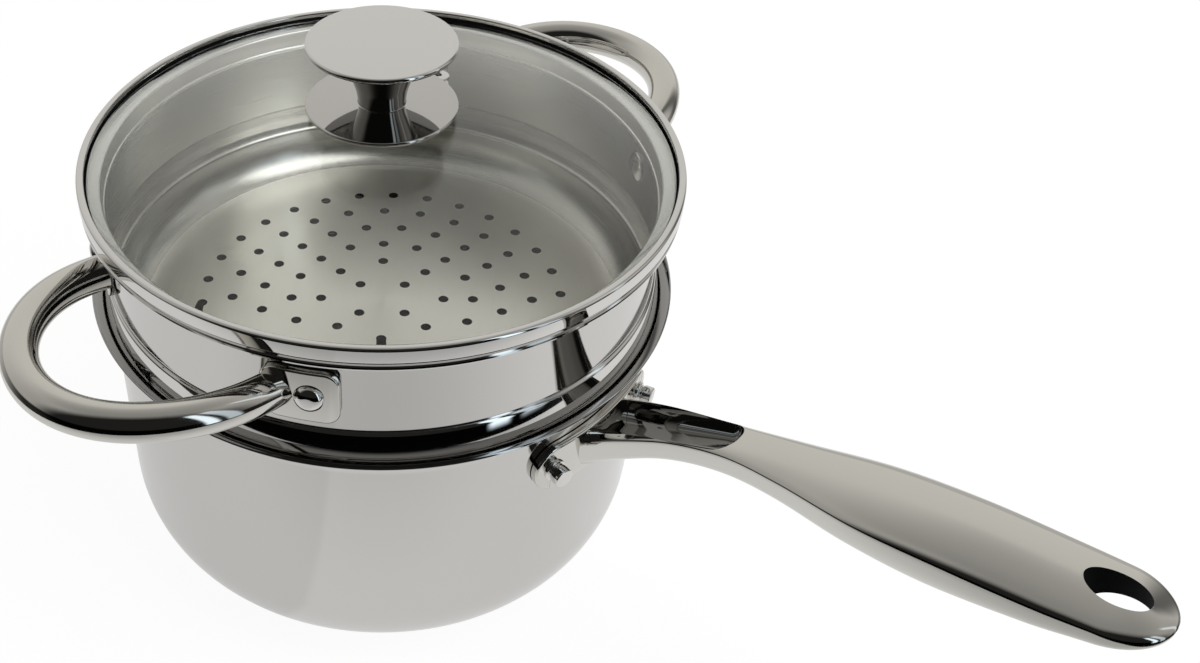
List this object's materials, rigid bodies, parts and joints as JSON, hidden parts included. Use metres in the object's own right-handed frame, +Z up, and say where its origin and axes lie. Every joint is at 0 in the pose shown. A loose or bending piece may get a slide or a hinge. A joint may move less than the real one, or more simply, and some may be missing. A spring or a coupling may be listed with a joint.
{
  "type": "steamer pot",
  "caption": "Stainless saucepan with a long riveted handle, a perforated loop-handled steamer insert and a domed glass lid with a steel rim and knob.",
  "frame": {"origin": "centre of the base's underside, on the pot's axis, at the surface it stands on", "axes": "+Z up along the pot's axis, +X along the long handle, towards its hanging hole"},
  "size_m": [0.3742, 0.2972, 0.2043],
  "materials": {
    "satin_steel": "satin stainless steel, brushed round the axis",
    "mirror_steel": "mirror-polished stainless steel",
    "base_aluminium": "plain aluminium disc inside the base",
    "clear_glass": "clear toughened glass",
    "seal_silicone": "matt grey silicone"
  },
  "bodies": {
    "pot": {"pot_body": "mirror_steel", "base_core_disc": "base_aluminium", "base_cap": "satin_steel", "pan_handle": "mirror_steel", "pan_handle_rivet_left": "mirror_steel", "pan_handle_rivet_right": "mirror_steel"},
    "steamer": {"steamer_body": "satin_steel", "loop_handle_left": "mirror_steel", "loop_handle_right": "mirror_steel", "loop_tab_left_a": "mirror_steel", "loop_tab_left_b": "mirror_steel", "loop_tab_right_a": "mirror_steel", "loop_tab_right_b": "mirror_steel", "loop_rivet_left_a": "mirror_steel", "loop_rivet_left_b": "mirror_steel", "loop_rivet_right_a": "mirror_steel", "loop_rivet_right_b": "mirror_steel"},
    "lid": {"lid_glass": "clear_glass", "lid_rim_band": "mirror_steel", "vent_grommet": "mirror_steel", "knob_body": "mirror_steel", "knob_cap": "mirror_steel", "knob_seal": "seal_silicone", "knob_washer": "satin_steel", "knob_screw": "satin_steel"}
  },
  "joints": [
    {"name": "steamer_lift", "type": "slide", "parent": "pot", "child": "steamer", "axis": [0, 0, 1], "range_m": [0, 0.12]},
    {"name": "lid_lift", "type": "slide", "parent": "steamer", "child": "lid", "axis": [0, 0, 1], "range_m": [0, 0.1]}
  ]
}
